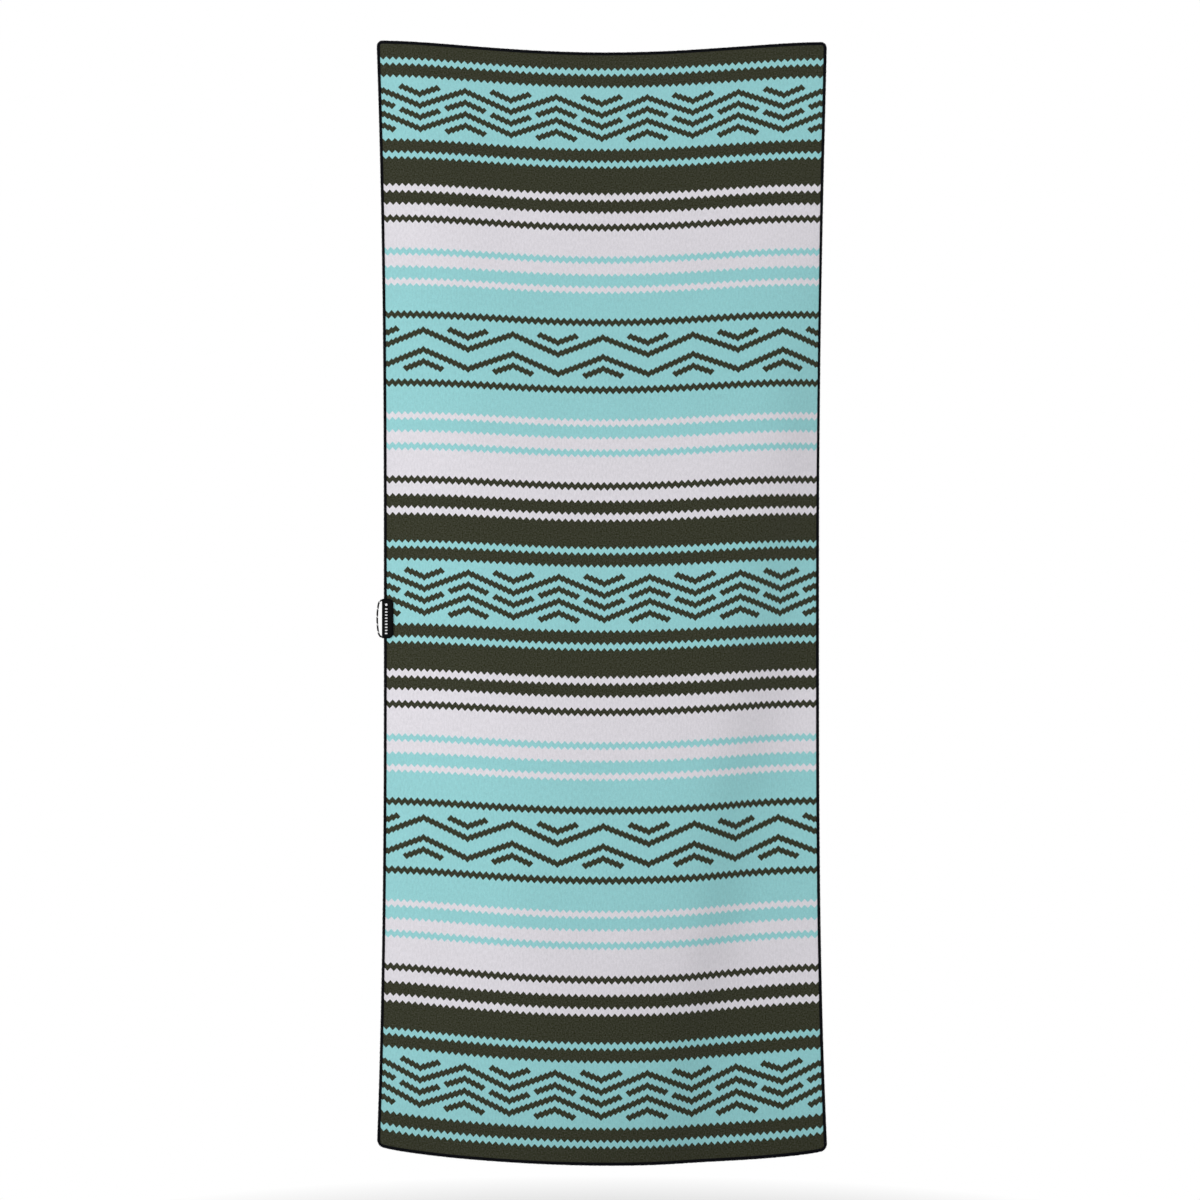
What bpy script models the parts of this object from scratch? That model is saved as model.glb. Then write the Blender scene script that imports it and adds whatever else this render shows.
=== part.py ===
"""A quick dry towel, hanging from its two top corners as on a line.

Frame: X runs across the towel, Z up along it, and the printed face looks along -Y. The origin is
halfway between the two top corners, where the towel is held. Everything sewn to the cloth is laid
out flat first, by s (across, from the left edge), t (down, from the top edge) and n (out of the
printed face), and hang_point then carries it onto the hanging cloth.
"""

import bpy
import numpy as np

# Cloth, lying flat, in metres.
TOWEL_WIDTH = 0.756
TOWEL_LENGTH = 1.850
CLOTH_THICKNESS = 0.0014
CORNER_RADIUS = 0.009

# Overlock thread that binds the edge.
EDGE_REACH = 0.0045
THREAD_LAYER = 0.0006

# The label, two rounded tabs that clamp the left edge, and its cord loop.
LABEL_WIDTH = 0.0196
LABEL_HEIGHT = 0.066
LABEL_THICKNESS = 0.0013
LABEL_OVERHANG = 0.0035
LABEL_BELOW_MIDDLE = 0.012
LABEL_INNER_RADIUS = 0.0085
LABEL_OUTER_RADIUS = 0.0012
CHANNEL_INSET = 0.0012
CHANNEL_DEPTH = 0.0008
STITCH_WIDTH = 0.0006
STITCH_HEIGHT = 0.00035
CORD_DIAMETER = 0.0030
LOOP_EYE = 0.0073
LOOP_END_INSET = 0.0022
TAIL_LENGTH = 0.012
TAIL_WIDTH = 0.0017
TAIL_THICKNESS = 0.0032

# The crosswise fold, and the clearance kept between pieces that touch.
FOLD_ABOVE_MIDDLE = 0.075
FOLD_CLEARANCE = 0.012
GAP = 0.0003

# How the cloth hangs: two soft upright folds turn the sides back, and the middle sags. Turns
# are in degrees, and a drift is how far a fold moves towards the middle at the bottom edge.
LEFT_FOLD_WIDTH = 0.025
LEFT_FOLD_WIDENING = 0.070
LEFT_FOLD_FROM_EDGE = 0.052
LEFT_FOLD_DRIFT = 0.270
LEFT_TURN_AT_TOP = 6
LEFT_TURN_ADDED = 7
RIGHT_FOLD_WIDTH = 0.062
RIGHT_FOLD_BEYOND_EDGE = 0.087
RIGHT_FOLD_DRIFT = 0.343
RIGHT_TURN = 33
WIDTH_AT_TOP = 0.995
WAIST_LEFT = 0.0129
WAIST_RIGHT = 0.0124
WAIST_LEFT_SHAPE = (2.67, 1.04)
WAIST_RIGHT_SHAPE = (2.86, 1.17)
SAG_AT_TOP = 0.0190
SAG_EASING = 0.0200
SAG_REGAIN = 0.0260
SAG_POWER = 0.63
SAG_POWER_AT_TOP = 1.16
SAG_POWER_BETWEEN = 1.35
KNIT_STRETCH = 0.0167
KNIT_STRETCH_EASING = 0.0138
CORNER_TILT = 0.0030
LABEL_FLAT_ACROSS = 0.022
LABEL_FLAT_MARGIN = 0.004
LABEL_FLAT_BLEND = 0.080

# Mesh fineness.
CLOTH_COLUMNS = 22
CLOTH_ROWS = 20
ARC_STEPS = 6
CORD_RING_RESOLUTION = 2
LOOP_POINTS = 34
TAIL_SIDES = 12

HALF_CLOTH = CLOTH_THICKNESS / 2
THREAD_INNER = HALF_CLOTH + GAP
THREAD_OUTER = THREAD_INNER + THREAD_LAYER
LABEL_INNER = THREAD_OUTER + GAP
LABEL_OUTER = LABEL_INNER + LABEL_THICKNESS
LABEL_TOP = TOWEL_LENGTH / 2 + LABEL_BELOW_MIDDLE
LABEL_MIDDLE = LABEL_TOP + LABEL_HEIGHT / 2
FOLD_LINE = TOWEL_LENGTH / 2 - FOLD_ABOVE_MIDDLE
LOOP_AXIS_OUT = LABEL_OVERHANG + GAP + CORD_DIAMETER / 2
LOOP_REACH = LOOP_EYE - GAP
LOOP_HALF_HEIGHT = LABEL_HEIGHT / 2 - LOOP_END_INSET

# The loop's route: shares of its reach out from the label and of its half height.
LOOP_ROUTE = (
    (0.00, 1.000), (0.24, 0.992), (0.50, 0.958), (0.73, 0.895), (0.88, 0.800),
    (0.95, 0.670), (0.98, 0.500), (0.995, 0.260), (1.00, 0.000), (0.995, -0.260),
    (0.98, -0.500), (0.95, -0.670), (0.88, -0.800), (0.73, -0.895), (0.50, -0.958),
    (0.24, -0.992), (0.00, -1.000),
)


def smooth_step(x):
    x = np.clip(x, 0, 1)
    return x * x * (3 - 2 * x)


def fold_turns(down):
    """(left, right) sine of the greatest turn of each upright fold, at a share of the length."""
    left = LEFT_TURN_AT_TOP + LEFT_TURN_ADDED * np.sin(np.pi * 0.66 * down)
    right = RIGHT_TURN * np.sin(np.pi * (0.10 + 0.74 * down))
    return np.sin(np.radians(left)), np.sin(np.radians(right))


def across_and_depth(s, down):
    """x and y before centring.

    q is the distance past a fold, in its widths. The left fold's slope is its turn times
    (1 - tanh q) / 2, so the panel before it slants. The right fold's is its turn times sech^2 q.
    """
    left_turn, right_turn = fold_turns(down)
    left_width = LEFT_FOLD_WIDTH + LEFT_FOLD_WIDENING * down
    left = (s - LEFT_FOLD_FROM_EDGE - LEFT_FOLD_DRIFT * down) / left_width
    right = s - TOWEL_WIDTH - RIGHT_FOLD_BEYOND_EDGE + RIGHT_FOLD_DRIFT * down
    right = np.tanh(right / RIGHT_FOLD_WIDTH)
    before = s - left_width * (np.logaddexp(left, -left) - np.log(2))
    y = right_turn * RIGHT_FOLD_WIDTH * right - left_turn * before / 2
    lost = left_turn**2 * (2 * before - left_width * np.tanh(left)) / 4
    lost = lost + right_turn**2 * RIGHT_FOLD_WIDTH * (right - right**3 / 3)
    return s - lost / 2, y


def waist(down, depth, shape):
    """How far a side edge draws in: depth * (1 - |2d^low - 1|^flat), with shape (flat, low)."""
    flat, low = shape
    return depth * (1 - np.abs(2 * down**low - 1) ** flat)


def sag(s, down):
    """How far a crosswise row hangs below its ends: depth * (1 - m^2)^power, m from -1 to 1."""
    depth = SAG_AT_TOP - SAG_EASING * down + SAG_REGAIN * down**3
    power = SAG_POWER + SAG_POWER_AT_TOP * (1 - down) + SAG_POWER_BETWEEN * 4 * down * (1 - down)
    return depth * np.maximum(1 - (2 * s / TOWEL_WIDTH - 1) ** 2, 0) ** power


def loose_point(s, t):
    """The hanging cloth's middle surface, before the label flattens it."""
    down = t / TOWEL_LENGTH
    inside = np.clip(down, 0, 1)
    x, y = across_and_depth(s, down)
    left_x, left_y = across_and_depth(0.0, down)
    right_x, right_y = across_and_depth(TOWEL_WIDTH, down)
    half = TOWEL_WIDTH / 2 * WIDTH_AT_TOP
    left = waist(inside, WAIST_LEFT, WAIST_LEFT_SHAPE) - half
    right = half - waist(inside, WAIST_RIGHT, WAIST_RIGHT_SHAPE)
    x = left + (right - left) * (x - left_x) / (right_x - left_x)
    stretch = (KNIT_STRETCH - KNIT_STRETCH_EASING * down) * down * (1 - down)
    tilt = CORNER_TILT * (0.5 - s / TOWEL_WIDTH) * (2 * down - 1) ** 2
    z = tilt - TOWEL_LENGTH * (down - stretch) - sag(s, inside)
    return np.stack([x, y - (left_y + right_y) / 2, z], axis=-1)


def label_plane(s, t):
    """The flat plane that the label holds the edge in."""
    edge = loose_point(0.0, LABEL_MIDDLE)
    along = loose_point(LABEL_WIDTH, LABEL_MIDDLE) - edge
    along[2] = 0
    along /= np.linalg.norm(along)
    down = np.array([0.0, 0.0, -1.0])
    s, t = np.asarray(s)[..., None], np.asarray(t)[..., None]
    return edge + s * along + (t - LABEL_MIDDLE) * down


def middle_point(s, t):
    """The middle surface, flat round the label and loose away from it."""
    s, t = np.broadcast_arrays(np.asarray(s, float), np.asarray(t, float))
    beside = np.maximum(s - LABEL_FLAT_ACROSS, 0)
    beyond = np.maximum(np.abs(t - LABEL_MIDDLE) - LABEL_HEIGHT / 2 - LABEL_FLAT_MARGIN, 0)
    hold = 1 - smooth_step(np.hypot(beside, beyond) / LABEL_FLAT_BLEND)
    loose = loose_point(s, t)
    return loose + hold[..., None] * (label_plane(s, t) - loose)


def hang_point(s, t, n):
    """A flat place carried onto the hanging cloth, n out along the cloth's own normal."""
    step = 0.0005
    across = middle_point(s + step, t) - middle_point(s - step, t)
    down = middle_point(s, t + step) - middle_point(s, t - step)
    normal = np.cross(down, across)
    normal /= np.linalg.norm(normal, axis=-1, keepdims=True)
    return middle_point(s, t) + np.asarray(n)[..., None] * normal


def round_corners(s, t):
    """Moves a grid's corner squares onto quarter discs, by x*sqrt(1 - y*y/2) and its mirror."""
    radius = CORNER_RADIUS
    a = np.clip(1 - s / radius, 0, 1) - np.clip(1 - (TOWEL_WIDTH - s) / radius, 0, 1)
    b = np.clip(1 - t / radius, 0, 1) - np.clip(1 - (TOWEL_LENGTH - t) / radius, 0, 1)
    return (
        s + radius * a * (1 - np.sqrt(1 - b * b / 2)),
        t + radius * b * (1 - np.sqrt(1 - a * a / 2)),
    )


def across_lines():
    """Grid lines from edge to edge, with extra ones in the corners and beside the label."""
    radius = CORNER_RADIUS
    inner = np.linspace(LABEL_FLAT_ACROSS, TOWEL_WIDTH - radius, CLOTH_COLUMNS)
    return np.concatenate([[0, radius / 2, radius], inner, [TOWEL_WIDTH - radius / 2, TOWEL_WIDTH]])


def upper_lines():
    radius = CORNER_RADIUS
    return np.concatenate([[0, radius / 2], np.linspace(radius, FOLD_LINE - GAP, CLOTH_ROWS)])


def lower_lines():
    radius, margin = CORNER_RADIUS, LABEL_FLAT_MARGIN
    label = [LABEL_TOP - margin, LABEL_MIDDLE, LABEL_TOP + LABEL_HEIGHT + margin]
    to_label = np.linspace(FOLD_LINE + GAP, label[0], 4)[:-1]
    below = np.linspace(label[2], TOWEL_LENGTH - radius, CLOTH_ROWS)[1:]
    ends = [TOWEL_LENGTH - radius / 2, TOWEL_LENGTH]
    return np.concatenate([to_label, label, below, ends])


def material(name, colour, roughness):
    made = bpy.data.materials.new(name)
    made.use_nodes = True
    shader = made.node_tree.nodes["Principled BSDF"]
    shader.inputs["Base Color"].default_value = (*colour, 1)
    shader.inputs["Roughness"].default_value = roughness
    shader.inputs["Metallic"].default_value = 0
    made.diffuse_color = (*colour, 1)
    return made


def joint_empty(name, place, parent=None):
    """An empty on a joint's axis, which carries what that joint moves."""
    empty = bpy.data.objects.new(name, None)
    empty["place"] = [float(value) for value in place]
    empty.empty_display_size = 0.03
    bpy.context.scene.collection.objects.link(empty)
    put_under(empty, place, parent)
    return empty


def put_under(thing, place, parent):
    held_at = np.array(parent["place"]) if parent else np.zeros(3)
    thing.parent = parent
    thing.location = np.asarray(place) - held_at


def add_mesh(name, points, faces, finish, parent=None):
    """A mesh object with its origin on its parent's joint axis."""
    place = np.array(parent["place"]) if parent else np.zeros(3)
    mesh = bpy.data.meshes.new(name)
    mesh.from_pydata((np.asarray(points) - place).tolist(), [], faces)
    mesh.materials.append(finish)
    mesh.validate()
    made = bpy.data.objects.new(name, mesh)
    bpy.context.scene.collection.objects.link(made)
    put_under(made, place, parent)
    mesh.shade_smooth()
    mesh.set_sharp_from_angle(angle=0.6)
    return made


def grid_index(rows, columns):
    return np.arange(rows * columns).reshape(rows, columns)


def sheet_faces(rows, columns):
    """Faces of a closed sheet: a front grid, the same grid behind it, and the rim between them."""
    front = grid_index(rows, columns)
    back = front + rows * columns
    a, b, c, d = front[:-1, :-1], front[1:, :-1], front[1:, 1:], front[:-1, 1:]
    faces = np.stack([a, b, c, d], axis=-1).reshape(-1, 4).tolist()
    faces += (np.stack([a, d, c, b], axis=-1).reshape(-1, 4) + rows * columns).tolist()
    rim = np.concatenate([front[0], front[1:, -1], front[-1, -2::-1], front[-2:0:-1, 0]])
    far = np.concatenate([back[0], back[1:, -1], back[-1, -2::-1], back[-2:0:-1, 0]])
    for here, there in zip(range(len(rim)), np.roll(range(len(rim)), -1)):
        faces.append([rim[here], rim[there], far[there], far[here]])
    return [[int(corner) for corner in face] for face in faces]


def add_cloth(name, down_lines, finish, parent=None):
    s, t = np.meshgrid(across_lines(), down_lines)
    s, t = round_corners(s, t)
    sides = [hang_point(s, t, np.full(s.shape, n)) for n in (HALF_CLOTH, -HALF_CLOTH)]
    points = np.concatenate([side.reshape(-1, 3) for side in sides])
    return add_mesh(name, points, sheet_faces(*s.shape), finish, parent)


def corner_stations(s_side, t_side):
    """Edge stations round a corner, from its upright edge to its level one. A side is -1 or 1."""
    a, b = np.array([[1, 0], [1, 0.5], [1, 1], [0.5, 1], [0, 1]]).T
    out_s = s_side * a * np.sqrt(1 - b * b / 2)
    out_t = t_side * b * np.sqrt(1 - a * a / 2)
    middle_s = CORNER_RADIUS if s_side < 0 else TOWEL_WIDTH - CORNER_RADIUS
    middle_t = CORNER_RADIUS if t_side < 0 else TOWEL_LENGTH - CORNER_RADIUS
    s, t = middle_s + CORNER_RADIUS * out_s, middle_t + CORNER_RADIUS * out_t
    return np.stack([s, t, out_s, out_t], axis=1)


def straight_stations(s, t, out_s, out_t):
    return np.stack(np.broadcast_arrays(s, t, float(out_s), float(out_t)), axis=1)


def between_corners(lines, size):
    return lines[(lines > CORNER_RADIUS + GAP) & (lines < size - CORNER_RADIUS - GAP)]


def edge_stations(down_lines, end):
    """Stations from the fold line round one end (-1 the top, 1 the bottom) and back to the fold.

    Each is (s, t, outward s, outward t) of a point on the cloth's edge.
    """
    side = between_corners(down_lines, TOWEL_LENGTH)[::end]
    across = between_corners(across_lines(), TOWEL_WIDTH)
    end_t = 0.0 if end < 0 else TOWEL_LENGTH
    return np.concatenate([
        straight_stations(0.0, side, -1, 0),
        corner_stations(-1, end),
        straight_stations(across, end_t, 0, end),
        corner_stations(1, end)[::-1],
        straight_stations(TOWEL_WIDTH, side[::-1], 1, 0),
    ])


def edge_section():
    """The binding's section: a C that wraps the cloth's edge, as (outward, n) pairs."""
    outer = GAP + THREAD_LAYER
    return np.array([
        [-EDGE_REACH, THREAD_INNER], [-EDGE_REACH, THREAD_OUTER],
        [outer, THREAD_OUTER], [outer, -THREAD_OUTER],
        [-EDGE_REACH, -THREAD_OUTER], [-EDGE_REACH, -THREAD_INNER],
        [GAP, -THREAD_INNER], [GAP, THREAD_INNER],
    ])


def add_edge(name, stations, finish, parent=None):
    """The binding along a run of stations, with its C section capped at both ends."""
    out, n = edge_section().T
    s = stations[:, None, 0] + stations[:, None, 2] * out
    t = stations[:, None, 1] + stations[:, None, 3] * out
    points = hang_point(s, t, np.broadcast_to(n, s.shape)).reshape(-1, 3)
    faces = ring_walls(*s.shape)
    last = s.size - len(out)
    for cap in ([0, 1, 2, 7], [7, 2, 3, 6], [6, 3, 4, 5]):
        faces += [cap[::-1], [last + i for i in cap]]
    return face_outwards(add_mesh(name, points, faces, finish, parent))


def face_outwards(made):
    """Turns a closed mesh right side out where its volume comes out negative."""
    mesh = made.data
    mesh.calc_loop_triangles()
    corners = np.array([[mesh.vertices[i].co for i in tri.vertices] for tri in mesh.loop_triangles])
    if np.linalg.det(corners).sum() < 0:
        mesh.flip_normals()
    return made


def label_outline(inset=0.0):
    """The label's outline in s and t: round corners inwards, small ones at the outer edge."""
    left, right = -LABEL_OVERHANG + inset, LABEL_WIDTH - LABEL_OVERHANG - inset
    top, bottom = LABEL_TOP + inset, LABEL_TOP + LABEL_HEIGHT - inset
    inner = LABEL_INNER_RADIUS - inset
    outer = max(LABEL_OUTER_RADIUS - inset, GAP)
    corners = ((right, top, inner, -90), (right, bottom, inner, 0),
               (left, bottom, outer, 90), (left, top, outer, 180))
    points = []
    for s, t, radius, start in corners:
        angles = np.radians(start + np.linspace(0, 90, ARC_STEPS + 1))
        middle_s = s - radius if s == right else s + radius
        middle_t = t + radius if t == top else t - radius
        points.append(np.stack([middle_s + radius * np.cos(angles),
                                middle_t + radius * np.sin(angles)], axis=1))
    return np.concatenate(points)


def ring_walls(rings, count):
    """Quads that join each ring of points to the next."""
    ring = grid_index(rings, count)
    after = np.roll(ring, -1, axis=1)
    faces = np.stack([ring[:-1], after[:-1], after[1:], ring[1:]], axis=-1)
    return faces.reshape(-1, 4).tolist()


def add_rings(name, rings, side, finish, parent, closed=False):
    """A solid from outlines in s and t, each at its own height n on the front (1) or back (-1).

    The first and last outline are capped, or joined to each other when the section is closed.
    """
    count = len(rings[0][0])
    if closed:
        rings = [*rings, rings[0]]
    points = [hang_point(*line.T, np.full(count, side * n)) for line, n in rings]
    faces = ring_walls(len(rings), count)
    if closed:
        points = points[:-1]
        faces = (np.array(faces) % (count * len(points))).tolist()
    else:
        last = count * (len(rings) - 1)
        faces += [list(range(count))[::-1], [last + i for i in range(count)]]
    return face_outwards(add_mesh(name, np.concatenate(points), faces, finish, parent))


def add_label_tab(name, side, finish, parent):
    """One of the label's two tabs, with a sewing channel sunk into its outer face."""
    far_side = CHANNEL_INSET + STITCH_WIDTH + 2 * GAP
    edge, outer, inner = label_outline(), label_outline(CHANNEL_INSET), label_outline(far_side)
    floor = LABEL_OUTER - CHANNEL_DEPTH
    rings = [(edge, LABEL_INNER), (edge, LABEL_OUTER), (outer, LABEL_OUTER), (outer, floor),
             (inner, floor), (inner, LABEL_OUTER)]
    return add_rings(name, rings, side, finish, parent)


def add_stitching(name, side, finish, parent):
    """The sewing line round a tab, one bead that lies in the tab's channel."""
    outer = label_outline(CHANNEL_INSET + GAP)
    inner = label_outline(CHANNEL_INSET + GAP + STITCH_WIDTH)
    low = LABEL_OUTER - CHANNEL_DEPTH + GAP
    high = low + STITCH_HEIGHT
    rings = [(outer, low), (outer, high), (inner, high), (inner, low)]
    return add_rings(name, rings, side, finish, parent, closed=True)


def add_tail(name, top, finish, parent):
    """A flattened cord end, trapped between the tabs outside the binding."""
    angles = np.linspace(0, 2 * np.pi, TAIL_SIDES, endpoint=False)
    middle = -(GAP + THREAD_LAYER + GAP + TAIL_WIDTH / 2)
    s = middle + TAIL_WIDTH / 2 * np.cos(angles)
    n = TAIL_THICKNESS / 2 * np.sin(angles)
    ends = [hang_point(s, np.full(TAIL_SIDES, t), n) for t in (top, top + TAIL_LENGTH)]
    faces = ring_walls(2, TAIL_SIDES)
    faces += [list(range(TAIL_SIDES))[::-1], [TAIL_SIDES + i for i in range(TAIL_SIDES)]]
    return face_outwards(add_mesh(name, np.concatenate(ends), faces, finish, parent))


def smooth_route(route, count):
    """Points on the Catmull-Rom curve through a route, evenly spread over its spans."""
    knots = np.array([2 * route[0] - route[1], *route, 2 * route[-1] - route[-2]])
    places = np.linspace(0, len(route) - 1, count)
    spans = np.minimum(places.astype(int), len(route) - 2)
    u = (places - spans)[:, None]
    p0, p1, p2, p3 = (knots[spans + i] for i in range(4))
    curve = (2 * p1 + (p2 - p0) * u + (2 * p0 - 5 * p1 + 4 * p2 - p3) * u**2
             + (3 * p1 - p0 - 3 * p2 + p3) * u**3)
    return curve / 2


def add_loop(name, finish, parent):
    """The hang cord's free bow, a tube whose two ends lie on the swing axis."""
    out, up = np.array(LOOP_ROUTE).T
    s = -LOOP_AXIS_OUT - LOOP_REACH * out
    t = LABEL_MIDDLE - LOOP_HALF_HEIGHT * up
    points = smooth_route(label_plane(s, t), LOOP_POINTS) - np.array(parent["place"])
    curve = bpy.data.curves.new(name, "CURVE")
    curve.dimensions = "3D"
    curve.bevel_depth = CORD_DIAMETER / 2
    curve.bevel_resolution = CORD_RING_RESOLUTION
    curve.use_fill_caps = True
    spline = curve.splines.new("POLY")
    spline.points.add(len(points) - 1)
    for place, point in zip(spline.points, points):
        place.co = (*point, 1)
    curve.materials.append(finish)
    made = bpy.data.objects.new(name, curve)
    bpy.context.scene.collection.objects.link(made)
    put_under(made, parent["place"], parent)
    return made


def fold_axis_place():
    """A point on the crosswise fold's axis, just in front of the cloth at the fold line."""
    row = middle_point(across_lines(), FOLD_LINE)
    return np.array([0.0, row[:, 1].min() - FOLD_CLEARANCE, row[:, 2].mean()])


def build():
    for old in list(bpy.data.objects):
        bpy.data.objects.remove(old)
    cloth = material("printed_microfibre", (0.56, 0.66, 0.66), 0.92)
    thread = material("black_overlock_thread", (0.012, 0.012, 0.014), 0.7)
    tab = material("black_label_rubber", (0.015, 0.015, 0.016), 0.55)
    cord = material("black_cord", (0.02, 0.02, 0.021), 0.75)
    lower = joint_empty("mid_fold_axis", fold_axis_place())
    swing = joint_empty("loop_swing_axis", label_plane(-LOOP_AXIS_OUT, LABEL_MIDDLE), lower)
    add_cloth("cloth_upper", upper_lines(), cloth)
    add_cloth("cloth_lower", lower_lines(), cloth, lower)
    add_edge("edge_binding_upper", edge_stations(upper_lines(), -1), thread)
    add_edge("edge_binding_lower", edge_stations(lower_lines(), 1), thread, lower)
    add_label_tab("label_front", 1, tab, lower)
    add_label_tab("label_back", -1, tab, lower)
    add_stitching("label_stitching_front", 1, thread, lower)
    add_stitching("label_stitching_back", -1, thread, lower)
    add_tail("loop_tail_upper", LABEL_TOP + LOOP_END_INSET, cord, lower)
    tail_top = LABEL_TOP + LABEL_HEIGHT - LOOP_END_INSET - TAIL_LENGTH
    add_tail("loop_tail_lower", tail_top, cord, lower)
    add_loop("hang_loop", cord, swing)


build()
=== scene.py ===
"""Looks for a quick dry towel that hangs from its two top corners.

Everything sewn to the cloth is laid out flat first, by s (across, from the label's edge), t (down,
from the top edge) and n (out of the printed face), in metres. hang_point then carries it onto the
hanging cloth, with the same folds and sag as the frame's solids.
"""

import bpy
import numpy as np
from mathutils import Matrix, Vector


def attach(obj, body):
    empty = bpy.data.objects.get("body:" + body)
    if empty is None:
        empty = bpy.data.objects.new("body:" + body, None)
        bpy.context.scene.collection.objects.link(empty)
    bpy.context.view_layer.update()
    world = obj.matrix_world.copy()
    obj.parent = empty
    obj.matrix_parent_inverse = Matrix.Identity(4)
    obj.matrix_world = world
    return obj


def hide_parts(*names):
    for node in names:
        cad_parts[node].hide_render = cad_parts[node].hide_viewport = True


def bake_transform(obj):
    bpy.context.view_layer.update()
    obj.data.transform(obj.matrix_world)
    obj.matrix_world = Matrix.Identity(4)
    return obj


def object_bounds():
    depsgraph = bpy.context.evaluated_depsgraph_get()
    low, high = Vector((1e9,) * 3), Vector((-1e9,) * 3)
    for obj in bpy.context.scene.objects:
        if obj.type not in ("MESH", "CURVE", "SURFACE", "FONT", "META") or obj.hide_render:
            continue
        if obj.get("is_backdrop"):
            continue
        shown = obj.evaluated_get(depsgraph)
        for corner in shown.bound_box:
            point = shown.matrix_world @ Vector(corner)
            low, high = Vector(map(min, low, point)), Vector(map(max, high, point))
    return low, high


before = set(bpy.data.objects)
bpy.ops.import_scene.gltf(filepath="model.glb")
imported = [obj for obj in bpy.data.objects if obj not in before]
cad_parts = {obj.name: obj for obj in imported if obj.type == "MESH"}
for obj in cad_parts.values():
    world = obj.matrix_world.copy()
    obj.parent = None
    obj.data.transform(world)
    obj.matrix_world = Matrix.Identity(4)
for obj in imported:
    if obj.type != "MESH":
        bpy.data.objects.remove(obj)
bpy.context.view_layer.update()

bl_info = {
    "name": "Quick Dry Towel",
    "version": (1, 0, 0),
    "blender": (4, 5, 0),
    "location": "3D Viewport > Sidebar > Towel",
    "description": "Builds a hanging quick dry towel with a stepped print and a hang loop",
    "category": "Add Mesh",
}

# The cloth, lying flat.
TOWEL_WIDTH = 0.756
TOWEL_LENGTH = 1.850
CLOTH_THICKNESS = 0.0014
CORNER_RADIUS = 0.009
CORNER_LINES = 5
CLOTH_OUTLINE = ((0.0, TOWEL_WIDTH, 0.0, TOWEL_LENGTH), CORNER_RADIUS, CORNER_RADIUS)

# How the cloth hangs. Turns are in degrees, and a drift is how far a fold moves towards the
# middle at the bottom edge.
LEFT_FOLD_WIDTH = 0.025
LEFT_FOLD_WIDENING = 0.070
LEFT_FOLD_FROM_EDGE = 0.052
LEFT_FOLD_DRIFT = 0.270
LEFT_TURN_AT_TOP = 6
LEFT_TURN_ADDED = 7
RIGHT_FOLD_WIDTH = 0.062
RIGHT_FOLD_BEYOND_EDGE = 0.087
RIGHT_FOLD_DRIFT = 0.343
RIGHT_TURN = 33
WIDTH_AT_TOP = 0.995
WAIST_LEFT = 0.0129
WAIST_RIGHT = 0.0124
WAIST_LEFT_SHAPE = (2.67, 1.04)
WAIST_RIGHT_SHAPE = (2.86, 1.17)
SAG_AT_TOP = 0.0190
SAG_EASING = 0.0200
SAG_REGAIN = 0.0260
SAG_POWER = 0.63
SAG_POWER_AT_TOP = 1.16
SAG_POWER_BETWEEN = 1.35
KNIT_STRETCH = 0.0167
KNIT_STRETCH_EASING = 0.0138
CORNER_TILT = 0.0030
PUCKER_DEPTH = 0.00035
PUCKER_REACH = 0.014
WAVE_DEPTH = 0.0005

# The label, the cord and the flat patch of cloth that the label holds.
LABEL_WIDTH = 0.0196
LABEL_HEIGHT = 0.066
LABEL_THICKNESS = 0.0013
LABEL_OVERHANG = 0.0035
LABEL_BELOW_MIDDLE = 0.012
LABEL_INNER_RADIUS = 0.0085
LABEL_OUTER_RADIUS = 0.0014
SHARPEST_STITCH_TURN = 0.0004
LABEL_INNER = 0.0019
LABEL_FLAT_ACROSS = 0.022
LABEL_FLAT_MARGIN = 0.004
LABEL_FLAT_BLEND = 0.080
LABEL_MIDDLE = TOWEL_LENGTH / 2 + LABEL_BELOW_MIDDLE + LABEL_HEIGHT / 2
CHANNEL_INSET = 0.0012
CHANNEL_WIDTH = 0.0012
CHANNEL_DEPTH = 0.0008
CHANNEL_WALL = 0.00018
RIM_ROUNDING = 0.0005
LIP_FROM_CLOTH = 0.0011
LIP_WIDTH = 0.0008
LIP_GAP = 0.0001
THINNEST_WALL = 0.0002
DOT_BELOW_TOP = 0.0098
DOT_RADIUS = 0.0021
FIRST_BAR_BELOW_TOP = 0.0170
MARK_HEIGHT = 0.00022
PAD_SIDES = 40
PAD_SECTION = ((1.0, -0.5), (1.0, 0.55), (0.97, 0.85), (0.9, 1.0), (0.4, 1.0), (0.02, 1.0))
CORD_DIAMETER = 0.0030
LOOP_AXIS_OUT = 0.0053
LOOP_REACH = 0.0070
LOOP_HALF_HEIGHT = 0.0308

# The print, in metres. The stripes run from the middle of one patterned band to the middle of the
# next kind, and then back again in mirror order.
STRIPES = (
    ("teal", 0.0532), ("dark", 0.0207), ("teal", 0.0101), ("dark", 0.0455), ("white", 0.0101),
    ("dark", 0.0206), ("white", 0.0206), ("dark", 0.0101), ("white", 0.0455), ("teal", 0.0101),
    ("white", 0.0206), ("teal", 0.0206), ("white", 0.0101), ("teal", 0.0455), ("dark", 0.0101),
    ("teal", 0.0526),
)
HALF_REPEAT = sum(width for _, width in STRIPES)

# Zigzag lines inside the bands, in tooth widths.
ZIGZAG_RUN = 7
ZIGZAG_RISE = 3
STEP_RUN = 0.7222
STEP_RISE = 0.2778
STEP_TOP = 0.5
LINE_HALF_WIDTH = 0.45
LINE_SPACING = 1.8
NARROW_LEVEL = 1.5
WIDE_LEVEL = 3.3
SHORT_V_REACH = 4.83
SHORT_PEAK_REACH = 6.06
BAND_REACH = 4.6

# Overlock sewing round the edge.
NEEDLE_LINE = 0.0042

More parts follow.
